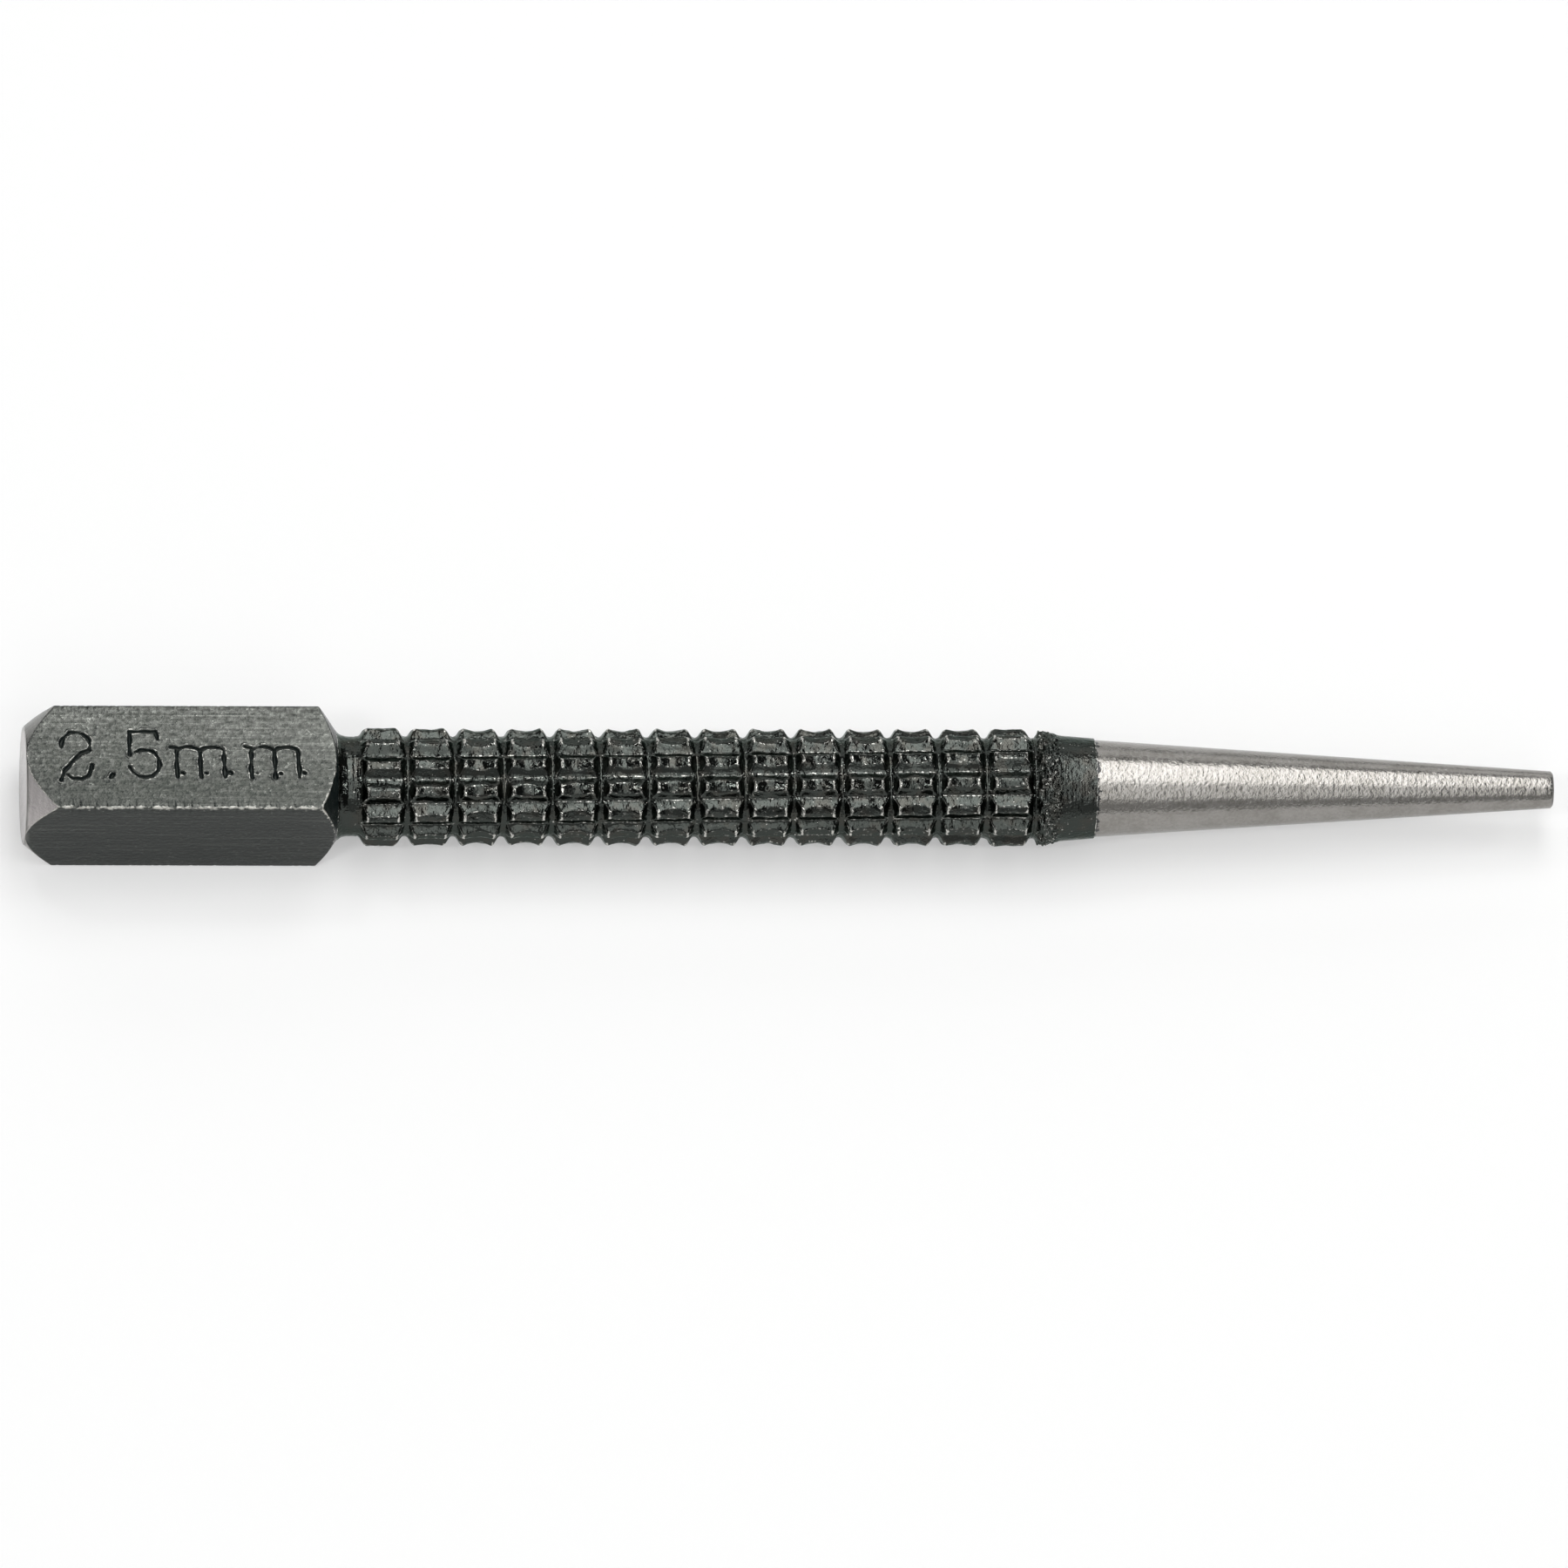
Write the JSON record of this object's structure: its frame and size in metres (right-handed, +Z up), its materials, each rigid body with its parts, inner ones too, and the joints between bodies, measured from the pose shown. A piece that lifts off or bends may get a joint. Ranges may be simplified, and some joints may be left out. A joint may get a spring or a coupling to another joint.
{
  "type": "nail setter",
  "caption": "Steel nail setter: square striking head, waisted neck, ring-and-tooth knurled grip, ground tapered shank and small cupped point.",
  "frame": {"origin": "centre of the striking face, on the tool's axis", "axes": "+X along the tool's axis from the striking face to the point, +Z up through the head flat that carries the size mark, +Y to the far side"},
  "size_m": [0.104, 0.008, 0.008],
  "materials": {
    "head_steel": "dark drawn steel, brushed along the bar, bare and bright on the struck chamfer and the edges",
    "black_steel": "glossy blackened steel",
    "bright_steel": "satin ground steel"
  },
  "bodies": {
    "root": {"striking_crown": "head_steel", "square_head": "head_steel", "neck": "black_steel", "knurled_grip": "black_steel", "collar": "black_steel", "tapered_shank": "bright_steel", "cupped_point": "bright_steel"}
  },
  "joints": []
}
